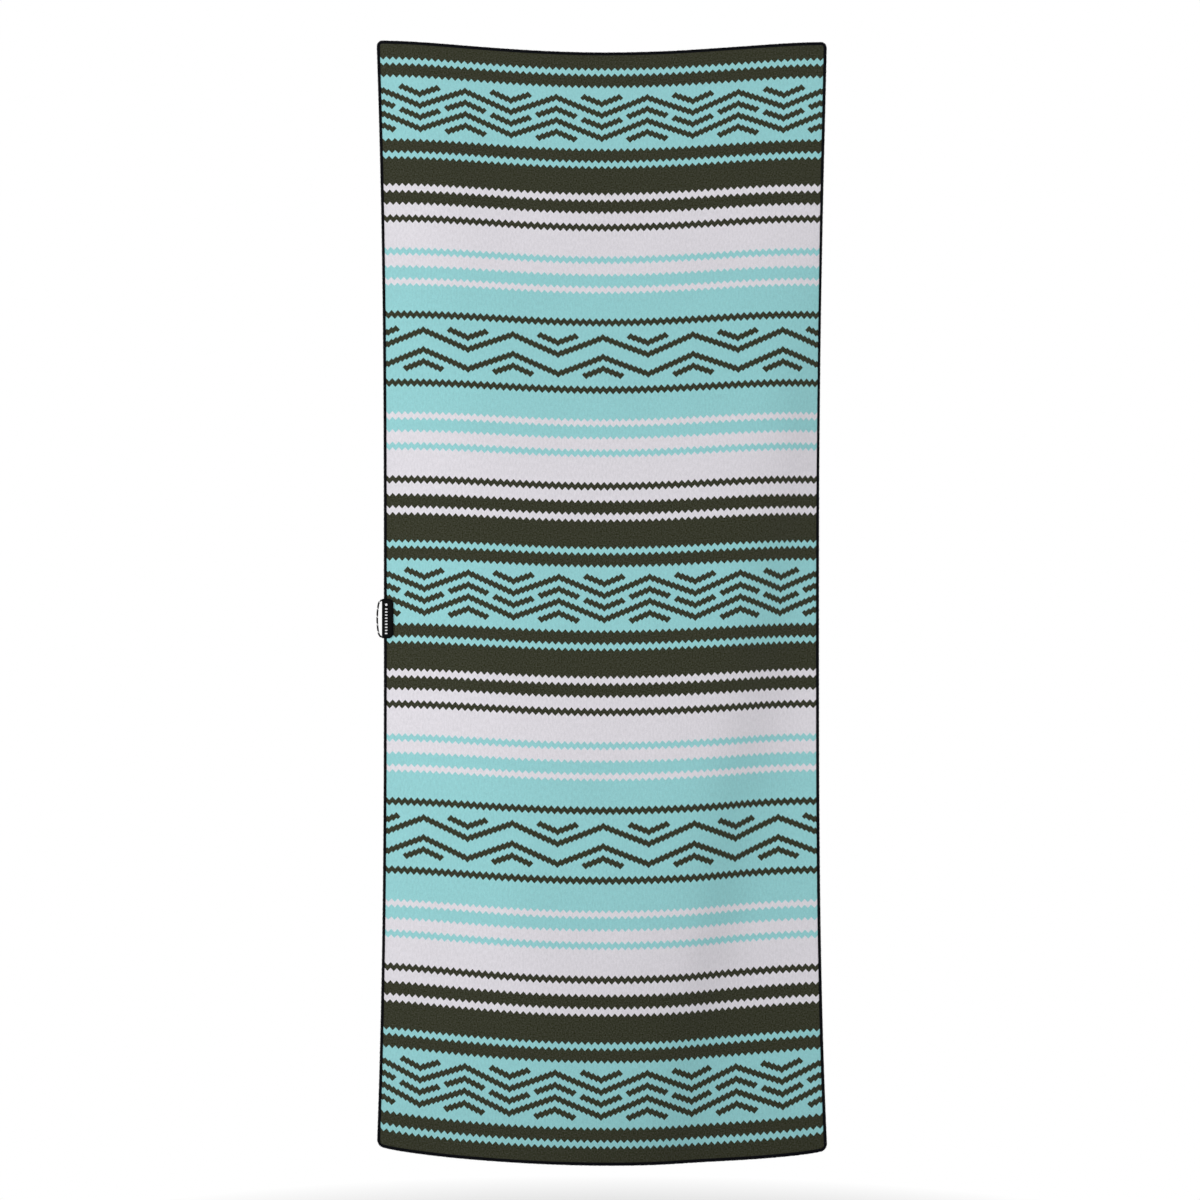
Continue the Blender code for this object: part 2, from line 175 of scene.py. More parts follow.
# The stage, from the middle of the held edge.
VIEW_MIDDLE = (-0.0027, -0.9346)
LIGHT_TARGET = (0.0, 0.0, -0.93)
SENSOR_WIDTH = 36
FLOOR_RADIUS = 30.0
FLOOR_RINGS = 24
FLOOR_SIDES = 96

FLAT_MAP = "flat"
THREAD_MAP = "thread"


def smooth_step(x):
    """0 below 0 and 1 above 1, with 3x^2 - 2x^3 between."""
    x = np.clip(x, 0, 1)
    return x * x * (3 - 2 * x)


# ---- The hanging cloth, as a function of its flat places ----


def fold_turns(down):
    """(left, right) sine of the greatest turn of each upright fold, at a share of the length."""
    left = LEFT_TURN_AT_TOP + LEFT_TURN_ADDED * np.sin(np.pi * 0.66 * down)
    right = RIGHT_TURN * np.sin(np.pi * (0.10 + 0.74 * down))
    return np.sin(np.radians(left)), np.sin(np.radians(right))


def across_and_depth(s, down):
    """x and y before centring.

    q is the distance past a fold, in its widths. The left fold's slope is its turn times
    (1 - tanh q) / 2, so the panel before it slants. The right fold's is its turn times sech^2 q.
    """
    left_turn, right_turn = fold_turns(down)
    left_width = LEFT_FOLD_WIDTH + LEFT_FOLD_WIDENING * down
    left = (s - LEFT_FOLD_FROM_EDGE - LEFT_FOLD_DRIFT * down) / left_width
    right = s - TOWEL_WIDTH - RIGHT_FOLD_BEYOND_EDGE + RIGHT_FOLD_DRIFT * down
    right = np.tanh(right / RIGHT_FOLD_WIDTH)
    before = s - left_width * (np.logaddexp(left, -left) - np.log(2))
    y = right_turn * RIGHT_FOLD_WIDTH * right - left_turn * before / 2
    lost = left_turn**2 * (2 * before - left_width * np.tanh(left)) / 4
    lost = lost + right_turn**2 * RIGHT_FOLD_WIDTH * (right - right**3 / 3)
    return s - lost / 2, y


def waist(down, depth, shape):
    """How far a side edge draws in: depth * (1 - |2d^low - 1|^flat), with shape (flat, low)."""
    flat, low = shape
    return depth * (1 - np.abs(2 * down**low - 1) ** flat)


def sag(s, down):
    """How far a crosswise row hangs below its ends: depth * (1 - m^2)^power, m from -1 to 1."""
    depth = SAG_AT_TOP - SAG_EASING * down + SAG_REGAIN * down**3
    power = SAG_POWER + SAG_POWER_AT_TOP * (1 - down) + SAG_POWER_BETWEEN * 4 * down * (1 - down)
    return depth * np.maximum(1 - (2 * s / TOWEL_WIDTH - 1) ** 2, 0) ** power


def loose_point(s, t):
    """The hanging cloth's middle surface, before the label flattens it."""
    down = t / TOWEL_LENGTH
    inside = np.clip(down, 0, 1)
    x, y = across_and_depth(s, down)
    left_x, left_y = across_and_depth(0.0, down)
    right_x, right_y = across_and_depth(TOWEL_WIDTH, down)
    half = TOWEL_WIDTH / 2 * WIDTH_AT_TOP
    left = waist(inside, WAIST_LEFT, WAIST_LEFT_SHAPE) - half
    right = half - waist(inside, WAIST_RIGHT, WAIST_RIGHT_SHAPE)
    x = left + (right - left) * (x - left_x) / (right_x - left_x)
    stretch = (KNIT_STRETCH - KNIT_STRETCH_EASING * down) * down * (1 - down)
    tilt = CORNER_TILT * (0.5 - s / TOWEL_WIDTH) * (2 * down - 1) ** 2
    z = tilt - TOWEL_LENGTH * (down - stretch) - sag(s, inside)
    y = y - (left_y + right_y) / 2 + ripple(s, t)
    return np.stack([x, y, z], axis=-1)


def ripple(s, t):
    """Small sines: short ones where the edge sewing gathers the cloth, long soft ones elsewhere."""
    beside = np.minimum(s, TOWEL_WIDTH - s)
    above = np.minimum(t, TOWEL_LENGTH - t)
    along_sides = np.sin(251 * t + 2.3 * np.sin(31 * t)) * np.exp(-beside / PUCKER_REACH)
    along_ends = np.sin(238 * s + 2.6 * np.sin(27 * s)) * np.exp(-above / PUCKER_REACH)
    waves = np.sin(47 * s + 9 * t) * np.sin(17 * t + 1.3 + 6 * s)
    return PUCKER_DEPTH * (along_sides + along_ends) + WAVE_DEPTH * waves


def label_plane(s, t):
    """The flat plane that the label holds the edge in."""
    edge = smooth_loose_point(0.0, LABEL_MIDDLE)
    along = smooth_loose_point(LABEL_WIDTH, LABEL_MIDDLE) - edge
    along[2] = 0
    along /= np.linalg.norm(along)
    down = np.array([0.0, 0.0, -1.0])
    s, t = np.asarray(s)[..., None], np.asarray(t)[..., None]
    return edge + s * along + (t - LABEL_MIDDLE) * down


def smooth_loose_point(s, t):
    """loose_point without its ripple."""
    point = loose_point(s, t)
    point[..., 1] -= ripple(s, t)
    return point


def middle_point(s, t):
    """The middle surface, flat round the label and loose away from it."""
    s, t = np.broadcast_arrays(np.asarray(s, float), np.asarray(t, float))
    beside = np.maximum(s - LABEL_FLAT_ACROSS, 0)
    beyond = np.maximum(np.abs(t - LABEL_MIDDLE) - LABEL_HEIGHT / 2 - LABEL_FLAT_MARGIN, 0)
    hold = 1 - smooth_step(np.hypot(beside, beyond) / LABEL_FLAT_BLEND)
    loose = loose_point(s, t)
    return loose + hold[..., None] * (label_plane(s, t) - loose)


def hang_point(s, t, n):
    """A flat place carried onto the hanging cloth, n out along the cloth's own normal."""
    step = 0.0005
    s, t = np.broadcast_arrays(np.asarray(s, float), np.asarray(t, float))
    across = middle_point(s + step, t) - middle_point(s - step, t)
    down = middle_point(s, t + step) - middle_point(s, t - step)
    normal = np.cross(down, across)
    normal /= np.linalg.norm(normal, axis=-1, keepdims=True)
    return middle_point(s, t) + np.asarray(n)[..., None] * normal


def onto_disc(s, t, a, b, radius):
    """Moves a corner square onto its quarter disc, by x * sqrt(1 - y * y / 2) and its mirror."""
    return (
        s + radius * a * (1 - np.sqrt(1 - b * b / 2)),
        t + radius * b * (1 - np.sqrt(1 - a * a / 2)),
    )


def round_corners(s, t):
    """Rounds the corners of the cloth's grid."""
    radius = CORNER_RADIUS
    a = np.clip(1 - s / radius, 0, 1) - np.clip(1 - (TOWEL_WIDTH - s) / radius, 0, 1)
    b = np.clip(1 - t / radius, 0, 1) - np.clip(1 - (TOWEL_LENGTH - t) / radius, 0, 1)
    return onto_disc(s, t, a, b, radius)


def outline_knots(box, near, far):
    """Where each side and corner of a rounded box ends, clockwise from its top left.

    near is the radius of its two left corners and far of its two right ones.
    """
    left, right, top, bottom = box
    across, tall = right - left - near - far, bottom - top
    arc_far, arc_near = np.pi * far / 2, np.pi * near / 2
    return np.cumsum([0, across, arc_far, tall - 2 * far, arc_far, across, arc_near,
                      tall - 2 * near, arc_near])


def outline_walk(distance, box, near, far, outward=0.0):
    """(s, t) at a distance round a rounded box, moved outward.

    A centre slides along the straight sides and waits at the corners, and a radius from it waits
    along the sides and turns at the corners.
    """
    left, right, top, bottom = box
    knots = outline_knots(box, near, far)
    distance = np.mod(distance, knots[-1])
    reach = np.interp(distance, knots, [near] + [far] * 4 + [near] * 4) + outward
    s = np.interp(distance, knots, [left + near] + [right - far] * 4 + [left + near] * 4)
    t = np.interp(distance, knots, [top + near, top + far, top + far, bottom - far, bottom - far,
                                    bottom - near, bottom - near, top + near, top + near])
    turn = np.radians(np.interp(distance, knots, [-90, -90, 0, 0, 90, 90, 180, 180, 270]))
    return s + reach * np.cos(turn), t + reach * np.sin(turn)


def edge_walk(distance, outward):
    return outline_walk(distance, *CLOTH_OUTLINE, outward)


def edge_length():
    return outline_knots(*CLOTH_OUTLINE)[-1]


# ---- Mesh making ----


def new_piece(name, points, faces, finishes, maps=(), finish_of_face=None):
    """A smooth mesh object at the origin. maps holds (name, u and v of each point) pairs."""
    mesh = bpy.data.meshes.new(name)
    mesh.from_pydata(np.asarray(points).reshape(-1, 3), [], faces)
    corners = np.empty(len(mesh.loops), np.int32)
    mesh.loops.foreach_get("vertex_index", corners)
    for map_name, places in maps:
        layer = mesh.uv_layers.new(name=map_name)
        layer.data.foreach_set("uv", np.asarray(places, np.float32).reshape(-1, 2)[corners].ravel())
    for finish in finishes:
        mesh.materials.append(finish)
    if finish_of_face is not None:
        mesh.polygons.foreach_set("material_index", np.asarray(finish_of_face, np.int32))
    mesh.shade_smooth()
    mesh.update()
    if mesh.validate():
        raise RuntimeError(f"{name} had faces that are not valid")
    piece = bpy.data.objects.new(name, mesh)
    bpy.context.scene.collection.objects.link(piece)
    return piece


def grid_quads(rows, columns, closed_rows=False, closed_columns=False):
    """Quads of a grid of points, with its last row or column joined to its first where closed."""
    index = np.arange(rows * columns).reshape(rows, columns)
    if closed_rows:
        index = np.concatenate([index, index[:1]])
    if closed_columns:
        index = np.concatenate([index, index[:, :1]], axis=1)
    a, b, c, d = index[:-1, :-1], index[1:, :-1], index[1:, 1:], index[:-1, 1:]
    return np.stack([a, b, c, d], axis=-1).reshape(-1, 4)


def shell_quads(rows, columns):
    """Quads of two grids back to back and the rim between them: (front, back, rim)."""
    front = grid_quads(rows, columns)
    back = front[:, ::-1] + rows * columns
    index = np.arange(rows * columns).reshape(rows, columns)
    rim = np.concatenate([index[0], index[1:, -1], index[-1, -2::-1], index[-2:0:-1, 0]])
    after = np.roll(rim, -1)
    beyond = rows * columns
    return front, back, np.stack([rim, after, after + beyond, rim + beyond], axis=-1)


def tube(path, side, radii, sides, flat=1.0, closed=False):
    """Points and faces of a tube: each ring is radius * (cos a * side + flat * sin a * across).

    side points roughly across the path at each of its points, and flat squeezes the tube the
    other way.
    """
    if closed:
        tangent = np.roll(path, -1, axis=0) - np.roll(path, 1, axis=0)
    else:
        tangent = np.gradient(path, axis=0)
    tangent /= np.linalg.norm(tangent, axis=1, keepdims=True)
    side = side - (side * tangent).sum(axis=1, keepdims=True) * tangent
    side /= np.linalg.norm(side, axis=1, keepdims=True)
    across = np.cross(tangent, side)
    angle = np.linspace(0, 2 * np.pi, sides, endpoint=False)
    angle = angle[None, :, None]
    radii = np.broadcast_to(radii, (len(path), sides))
    ring = np.cos(angle) * side[:, None] + flat * np.sin(angle) * across[:, None]
    points = path[:, None] + radii[..., None] * ring
    faces = grid_quads(len(path), sides, closed_rows=closed, closed_columns=True)[:, ::-1]
    return points, faces


def tube_map(path, sides):
    """u is the distance along the tube and v the share of the way round it."""
    steps = np.linalg.norm(np.diff(path, axis=0), axis=1)
    along = np.concatenate([[0], np.cumsum(steps)])
    round_it = np.arange(sides) / sides
    return np.stack(np.broadcast_arrays(along[:, None], round_it[None]), axis=-1)


def end_caps(rows, columns):
    """The two end faces of an open tube."""
    first = list(range(columns))
    last = [(rows - 1) * columns + i for i in range(columns)]
    return [first, last[::-1]]


# ---- Materials ----


def math_method(operation, swapped=False):
    """A method of Field that adds one Math node, with its own value first unless swapped."""
    def method(self, *others):
        return self.math(operation, *((*others, self) if swapped else (self, *others)))
    return method


class Field:
    """A number that varies over a surface. Its arithmetic adds Math nodes to a node tree."""

    def __init__(self, tree, socket):
        self.tree, self.socket = tree, socket

    def math(self, operation, *values):
        node = node_of(self.tree, "ShaderNodeMath", operation=operation)
        for inlet, value in zip(node.inputs, values):
            if isinstance(value, Field):
                self.tree.links.new(value.socket, inlet)
            else:
                inlet.default_value = value
        return Field(self.tree, node.outputs[0])

    __add__ = math_method("ADD")
    __sub__ = math_method("SUBTRACT")
    __rsub__ = math_method("SUBTRACT", swapped=True)
    __mul__ = math_method("MULTIPLY")
    __truediv__ = math_method("DIVIDE")
    __lt__ = math_method("LESS_THAN")
    __gt__ = math_method("GREATER_THAN")
    __abs__ = math_method("ABSOLUTE")
    floor = math_method("FLOOR")
    rounded = math_method("ROUND")
    sign = math_method("SIGN")
    sine = math_method("SINE")
    least = math_method("MINIMUM")
    most = __or__ = math_method("MAXIMUM")
    back_and_forth = math_method("PINGPONG")

    def wrapped(self, half):
        return self.math("WRAP", self, half, -half)

    def from_whole(self):
        """Distance to the nearest whole number, 0 to 0.5."""
        return self.back_and_forth(0.5)

    def choose(self, if_one, if_zero):
        return if_one * self + if_zero * (1 - self)


def node_of(tree, kind, **settings):
    node = tree.nodes.new(kind)
    for name, value in settings.items():
        setattr(node, name, value)
    return node


def map_fields(tree, map_name):
    """The two coordinates of a UV map as fields, and the map's own vector socket."""
    places = node_of(tree, "ShaderNodeUVMap", uv_map=map_name)
    parts = node_of(tree, "ShaderNodeSeparateXYZ")
    tree.links.new(places.outputs["UV"], parts.inputs[0])
    return Field(tree, parts.outputs[0]), Field(tree, parts.outputs[1]), places.outputs["UV"]


def noise(tree, vector, scale, detail=2.0, roughness=0.5, stretch=(1, 1, 1)):
    """Noise from 0 to 1, with about scale features to a metre before the stretch."""
    mapping = node_of(tree, "ShaderNodeMapping")
    mapping.inputs["Scale"].default_value = stretch
    tree.links.new(vector, mapping.inputs["Vector"])
    made = node_of(tree, "ShaderNodeTexNoise", noise_dimensions="3D")
    tree.links.new(mapping.outputs[0], made.inputs["Vector"])
    made.inputs["Scale"].default_value = scale
    made.inputs["Detail"].default_value = detail
    made.inputs["Roughness"].default_value = roughness
    return Field(tree, made.outputs["Fac"])


def scaled_colour(tree, colour, field):
    """A colour socket times a field."""
    node = node_of(tree, "ShaderNodeVectorMath", operation="SCALE")
    tree.links.new(colour, node.inputs[0])
    tree.links.new(field.socket, node.inputs["Scale"])
    return node.outputs[0]


def speckled_colour(tree, colour, speck):
    """A colour socket with a speck field added to it, and never below black."""
    added = node_of(tree, "ShaderNodeVectorMath", operation="ADD")
    tree.links.new(colour, added.inputs[0])
    tree.links.new(speck.socket, added.inputs[1])
    floor = node_of(tree, "ShaderNodeVectorMath", operation="MAXIMUM")
    tree.links.new(added.outputs[0], floor.inputs[0])
    return floor.outputs[0]


def mixed_colour(tree, share, first, second):
    """first where share is 0 and second where it is 1. Each is a socket or a colour."""
    node = node_of(tree, "ShaderNodeMix", data_type="RGBA")
    for inlet, value in zip((node.inputs[0], node.inputs[6], node.inputs[7]),
                            (share, first, second)):
        if isinstance(value, Field):
            tree.links.new(value.socket, inlet)
        elif isinstance(value, bpy.types.NodeSocket):
            tree.links.new(value, inlet)
        elif isinstance(value, float):
            inlet.default_value = value
        else:
            inlet.default_value = (*value[:3], 1)
    return node.outputs[2]


def new_material(name, roughness, sheen=0.0, sheen_roughness=0.5, specular=0.5):
    made = bpy.data.materials.new(name)
    made.use_nodes = True
    shader = made.node_tree.nodes["Principled BSDF"]
    shader.inputs["Roughness"].default_value = roughness
    shader.inputs["Sheen Weight"].default_value = sheen
    shader.inputs["Sheen Roughness"].default_value = sheen_roughness
    shader.inputs["Specular IOR Level"].default_value = specular
    return made, made.node_tree, shader


def dress(tree, shader, colour, height, distance, strength=1.0):
    """Gives a shader its colour socket and its relief."""
    tree.links.new(colour, shader.inputs["Base Color"])
    bump = node_of(tree, "ShaderNodeBump")
    bump.inputs["Strength"].default_value = strength
    bump.inputs["Distance"].default_value = distance
    tree.links.new(height.socket, bump.inputs["Height"])
    tree.links.new(bump.outputs[0], shader.inputs["Normal"])


def stripe_ramp(tree, from_band, colours):
    """The stripes as a ramp of flat colours from one band's middle to the next one's."""
    ramp = node_of(tree, "ShaderNodeValToRGB")
    ramp.color_ramp.interpolation = "CONSTANT"
    tree.links.new((from_band / HALF_REPEAT).socket, ramp.inputs[0])
    stops = ramp.color_ramp.elements
    start = 0.0
    for place, (colour, width) in enumerate(STRIPES):
        stop = stops[place] if place < len(stops) else stops.new(start / HALF_REPEAT)
        stop.position = start / HALF_REPEAT
        stop.color = (*colours[colour], 1)
        start += width
    return ramp.outputs["Color"]


def zigzag_lines(across, down_from_first, down_from_second, near_first):
    """1 on the stepped zigzag lines of the patterned bands, all in tooth widths.

    A line climbs from a valley in steps: h = step number * STEP_RISE + a tooth that goes up to
    STEP_TOP and back. Levels of it lie under each other. The outer levels, and the middle one of
    the first band, keep only short pieces: a V where u + w is small, and a peak where it is large,
    with u from the valley and w from the level's lowest tip.
    """
    u = across.back_and_forth(ZIGZAG_RUN)
    u = near_first.choose(u, ZIGZAG_RUN - u)
    down = near_first.choose(down_from_first, down_from_second)
    steps = (u / STEP_RUN).floor()
    within = u - steps * STEP_RUN
    rise = steps * STEP_RISE + within.least(STEP_TOP) - (within - STEP_TOP).most(0)
    line = down + rise - ZIGZAG_RISE / 2
    first_level = ((line / LINE_SPACING).rounded().least(2)).most(-2) * LINE_SPACING
    outer = abs(line) > (NARROW_LEVEL + WIDE_LEVEL) / 2
    second_level = (outer * (WIDE_LEVEL - NARROW_LEVEL) + NARROW_LEVEL) * line.sign()
    level = near_first.choose(first_level, second_level)
    reach = u + level + ZIGZAG_RISE / 2 + LINE_HALF_WIDTH - down
    short_v = (reach < SHORT_V_REACH) * (level < 0.5)
    short_peak = (reach > SHORT_PEAK_REACH) * (level > -0.5)
    whole = abs(abs(level) - (NARROW_LEVEL + LINE_SPACING) / 2) < 0.3
    on_line = (abs(line - level) < LINE_HALF_WIDTH) * (abs(down) < BAND_REACH)
    return on_line * (whole | short_v | short_peak)


def print_group(settings):
    """A node group that gives the printed colour at each flat place of the cloth."""
    group = bpy.data.node_groups.new("stepped_stripe_print", "ShaderNodeTree")
    group.interface.new_socket("Colour", in_out="OUTPUT", socket_type="NodeSocketColor")
    colours = {"white": settings.white, "teal": settings.teal, "dark": settings.dark}
    s, t, _ = map_fields(group, FLAT_MAP)
    pitch = settings.tooth_pitch
    across = abs(s - TOWEL_WIDTH / 2) / pitch
    down = (TOWEL_LENGTH / 2 - t) / pitch
    toothed = down + 0.25 - across.from_whole()
    repeat = HALF_REPEAT / pitch
    stripes = stripe_ramp(group, toothed.back_and_forth(repeat) * pitch, colours)
    from_first = down.wrapped(repeat)
    from_second = (down - repeat).wrapped(repeat)
    near_first = abs(from_first) < repeat / 2
    lines = zigzag_lines(across, from_first, from_second, near_first)
    colour = mixed_colour(group, lines, stripes, colours["dark"])
    outlet = node_of(group, "NodeGroupOutput")
    group.links.new(colour, outlet.inputs[0])
    return group


def nap_shade(tree, s, t, places, settings):
    """(shade round 1, height) of the brushed nap: specks, slanted brush marks, knit ribs under. The
    ribs' part of the shade is painted shade, lighter on their crests and darker in their troughs.
    """
    fine = noise(tree, places, 900, detail=3.0, roughness=0.7)
    slant = noise(tree, places, 300, detail=3.0, roughness=0.65, stretch=(1.0, 0.45, 1))
    broad = noise(tree, places, 9, detail=3.0, roughness=0.6)
    ribs = ((s + t * 0.7) * (2 * np.pi / settings.rib_pitch)).sine()
    rows = ((t - s * 0.2) * (2 * np.pi / settings.rib_pitch)).sine()
    shade = (fine - 0.5) * settings.nap_contrast + (slant - 0.5) * settings.nap_contrast
    # ribs * 0.02 is painted shade of the knit ribs; the noise terms are random tone of the nap.
    shade = shade + (broad - 0.5) * 0.07 + ribs * 0.02 + 1.0
    return shade, fine * 0.5 + slant * 0.4 + (ribs + rows) * 0.08


def cloth_material(name, settings, colour_of, bump_distance):
    """Brushed cloth with a soft sheen. colour_of(tree, places, shade) gives its colour socket."""
    made, tree, shader = new_material(name, 0.95, sheen=settings.sheen, sheen_roughness=0.55,
                                      specular=0.15)
    s, t, places = map_fields(tree, FLAT_MAP)
    shade, height = nap_shade(tree, s, t, places, settings)
    dress(tree, shader, colour_of(tree, places, shade), height, bump_distance,
          settings.nap_bump)
    return made


def cloth_materials(settings):
    """The printed side, and the unprinted one with a faint ghost of the print coming through."""
    group = print_group(settings)

    def printed(tree, places, shade):
        pattern = node_of(tree, "ShaderNodeGroup", node_tree=group)
        fibre_ends = (noise(tree, places, 420) - 0.5) * settings.fibre_ends
        return speckled_colour(tree, scaled_colour(tree, pattern.outputs[0], shade), fibre_ends)

    def reverse(tree, places, shade):
        pattern = node_of(tree, "ShaderNodeGroup", node_tree=group)
        ghost = mixed_colour(tree, settings.ghost, settings.reverse, pattern.outputs[0])
        return scaled_colour(tree, ghost, shade)

    return [cloth_material("printed_microfibre", settings, printed, 0.0006),
            cloth_material("brushed_reverse", settings, reverse, 0.0008)]


def lighter(colour, factor, lift):
    return tuple(min(1.0, factor * value + lift) for value in colour)


def thread_material(name, colour, twist, roughness=0.62):
    """Spun thread: fine plies that wind round it, with a painted highlight on their crowns."""
    made, tree, shader = new_material(name, roughness, sheen=0.02, sheen_roughness=0.4,
                                      specular=0.03)
    along, around, places = map_fields(tree, THREAD_MAP)
    ply = ((along / twist + around * 2) * (2 * np.pi)).sine() * 0.5 + 0.5
    fuzz = noise(tree, places, 1800)
    # Painted highlight: the colour is lightened on the ply crowns, mixed with random fibre fuzz.
    shaded = mixed_colour(tree, ply * 0.55 + fuzz * 0.45, colour, lighter(colour, 2.4, 0.002))
    dress(tree, shader, shaded, ply + fuzz * 0.5, 0.00008)
    return made


def rubber_material(name, colour, roughness):
    """Soft moulded rubber: a fine pebbled skin, a little duller in patches."""
    made, tree, shader = new_material(name, roughness, specular=0.03)
    places = node_of(tree, "ShaderNodeTexCoord").outputs["Object"]
    pebble = noise(tree, places, 2600)
    patch = noise(tree, places, 160, detail=3.0)
    skin = mixed_colour(tree, patch, colour, lighter(colour, 1.5, 0.001))
    tree.links.new((patch * 0.25 + (roughness - 0.12)).socket, shader.inputs["Roughness"])
    dress(tree, shader, skin, pebble, 0.00006)
    return made


def cord_material(settings):
    """Braided cord: strands that cross both ways with a painted highlight on their crowns, and a
    pale tracer strand every so often.
    """
    made, tree, shader = new_material("braided_cord", 0.6, sheen_roughness=0.4, specular=0.03)
    along, around, places = map_fields(tree, THREAD_MAP)
    turns = settings.braid_strands / 2
    left = ((around * turns + along / settings.braid_pitch) * (2 * np.pi)).sine()
    right = ((around * turns - along / settings.braid_pitch) * (2 * np.pi)).sine()
    crown = left.most(right)
    fuzz = noise(tree, places, 2400)
    # Painted highlight: the colour is lightened on the strands' crowns, mixed with random fibre
    # fuzz.
    braid = mixed_colour(tree, crown * 0.3 + fuzz * 0.4, settings.colour,
                         lighter(settings.colour, 2.4, 0.002))
    from_tick = abs(along / settings.tick_spacing - around * 0.16 + 0.5).from_whole()
    tick = from_tick < settings.tick_length / 2 / settings.tick_spacing
    colour = mixed_colour(tree, tick * 0.9, braid, settings.tick_colour)
    dress(tree, shader, colour, crown * 0.6 + fuzz * 0.4, 0.0001)
    return made


# ---- Pieces ----


def grid_lines(length, count):
    """Places along one side of the cloth, closer together in its two rounded corners."""
    corner = np.linspace(0, CORNER_RADIUS, CORNER_LINES)
    inner = np.linspace(CORNER_RADIUS, length - CORNER_RADIUS, count)[1:-1]
    return np.concatenate([corner, inner, length - corner[::-1]])


def make_cloth(settings):
    """One sheet of cloth: a fine grid of flat places hung at plus and minus half its thickness."""
    s, t = np.meshgrid(grid_lines(TOWEL_WIDTH, settings.columns),
                       grid_lines(TOWEL_LENGTH, settings.rows))
    s, t = round_corners(s, t)
    half = CLOTH_THICKNESS / 2
    points = np.stack([hang_point(s, t, half), hang_point(s, t, -half)])
    front, back, rim = shell_quads(*s.shape)
    quads = np.concatenate([front, back, rim])
    finish_of_face = np.concatenate([np.zeros(len(front)), np.ones(len(back) + len(rim))])
    places = np.stack([s, TOWEL_LENGTH - t], axis=-1)
    places = np.stack([places, places])
    return new_piece("towel_cloth", points, quads, cloth_materials(settings),
                     [(FLAT_MAP, places)], finish_of_face)


def stitch_wraps(settings):
    """The looper threads: one long wrap round the cloth's edge, like a flat spring.

    Each turn follows a section that runs from the needle line out over the edge and back under,
    in millimetres (outward, n), and moves one pitch along.
    """
    section = np.array([
        [-4.2, 0.95], [-2.2, 1.42], [-0.3, 1.32], [0.72, 0.48],
        [0.72, -0.48], [-0.3, -1.32], [-2.2, -1.42], [-4.2, -0.95],
    ]) / 1000
    turns = round(edge_length() / settings.stitch_pitch)
    steps = turns * len(section)
    distance = np.arange(steps) * edge_length() / steps
    outward, n = np.tile(section, (turns, 1)).T
    loosen = 0.00018 * np.sin(distance * 811) + 0.00012 * np.sin(distance * 367)
    s, t = edge_walk(distance + loosen, outward + loosen * 0.6)
    path = hang_point(s, t, n)
    ahead = np.stack(edge_walk(distance + 0.0005, outward), axis=-1)
    beside = hang_point(ahead[:, 0], ahead[:, 1], n) - path
    return path, beside


def make_edge_threads(settings):
    """The wraps as a flattened tube of thread, round the whole edge."""
    path, beside = stitch_wraps(settings)
    radius = settings.thread_width / 2
    points, quads = tube(path, beside, radius, 4, flat=0.62, closed=True)
    finish = thread_material("overlock_thread", settings.thread_colour, 0.0016)
    return thread_piece("edge_overlock_threads", [(points, quads, tube_map(path, 4))], finish)


def make_edge_core(settings):
    """The mass of thread under the wraps: a rounded band folded over the edge, closed on itself."""
    section = np.array([
        [-4.0, 0.6], [-3.9, 1.08], [-2.1, 1.18], [-0.4, 1.12], [0.32, 0.75], [0.5, 0.0],
        [0.32, -0.75], [-0.4, -1.12], [-2.1, -1.18], [-3.9, -1.08], [-4.0, -0.6],
    ]) / 1000
    count = round(edge_length() / 0.003)
    distance = np.arange(count) * edge_length() / count
    outward, n = section.T
    s, t = edge_walk(distance[:, None], outward[None])
    points = hang_point(s, t, np.broadcast_to(n, s.shape))
    quads = grid_quads(count, len(section), closed_rows=True, closed_columns=True)
    places = np.stack(np.broadcast_arrays(distance[:, None], np.linspace(0, 1, len(section))), -1)
    finish = thread_material("overlock_ground", settings.thread_colour, 0.0012, roughness=0.8)
    return new_piece("edge_thread_core", points, quads, [finish], [(THREAD_MAP, places)])


def stitch_line(walk, length, pitch, low, high, radius, side=1, points_each=5, sides=5):
    """A closed row of stitches: a thread that rises from low to high and dips again at each pitch.

    walk(distance) gives the flat places (s, t) along the row.
    """
    stitches = round(length / pitch)
    steps = stitches * points_each
    distance = np.arange(steps) * length / steps
    lift = np.abs(np.sin(np.pi * np.arange(steps) / points_each)) ** 0.6
    n = side * (low + (high - low) * lift)
    s, t = walk(distance)
    path = hang_point(s, t, n)
    out = hang_point(s, t, n + 0.001) - path
    points, quads = tube(path, out, radius, sides, closed=True)
    return points, quads, tube_map(path, sides)


def joined(parts):
    """Several (points, quads, map) tubes as one."""
    points, quads, places, start = [], [], [], 0
    for part_points, part_quads, part_places in parts:
        points.append(part_points.reshape(-1, 3))
        quads.append(part_quads + start)
        places.append(part_places.reshape(-1, 2))
        start += len(points[-1])
    return np.concatenate(points), np.concatenate(quads), np.concatenate(places)


def thread_piece(name, parts, finish):
    points, quads, places = joined(parts)
    return new_piece(name, points, quads, [finish], [(THREAD_MAP, places)])


def make_needle_lines(settings):
    """The needle thread's two rows of short straight stitches, one on each face."""
    parts = [
        stitch_line(lambda d: edge_walk(d, -NEEDLE_LINE), edge_length(), settings.stitch_pitch,
                    0.0004, 0.00125, 0.0003, side, points_each=4, sides=4)
        for side in (1, -1)
    ]
    finish = thread_material("needle_thread", settings.thread_colour, 0.001)
    return thread_piece("edge_needle_stitches", parts, finish)


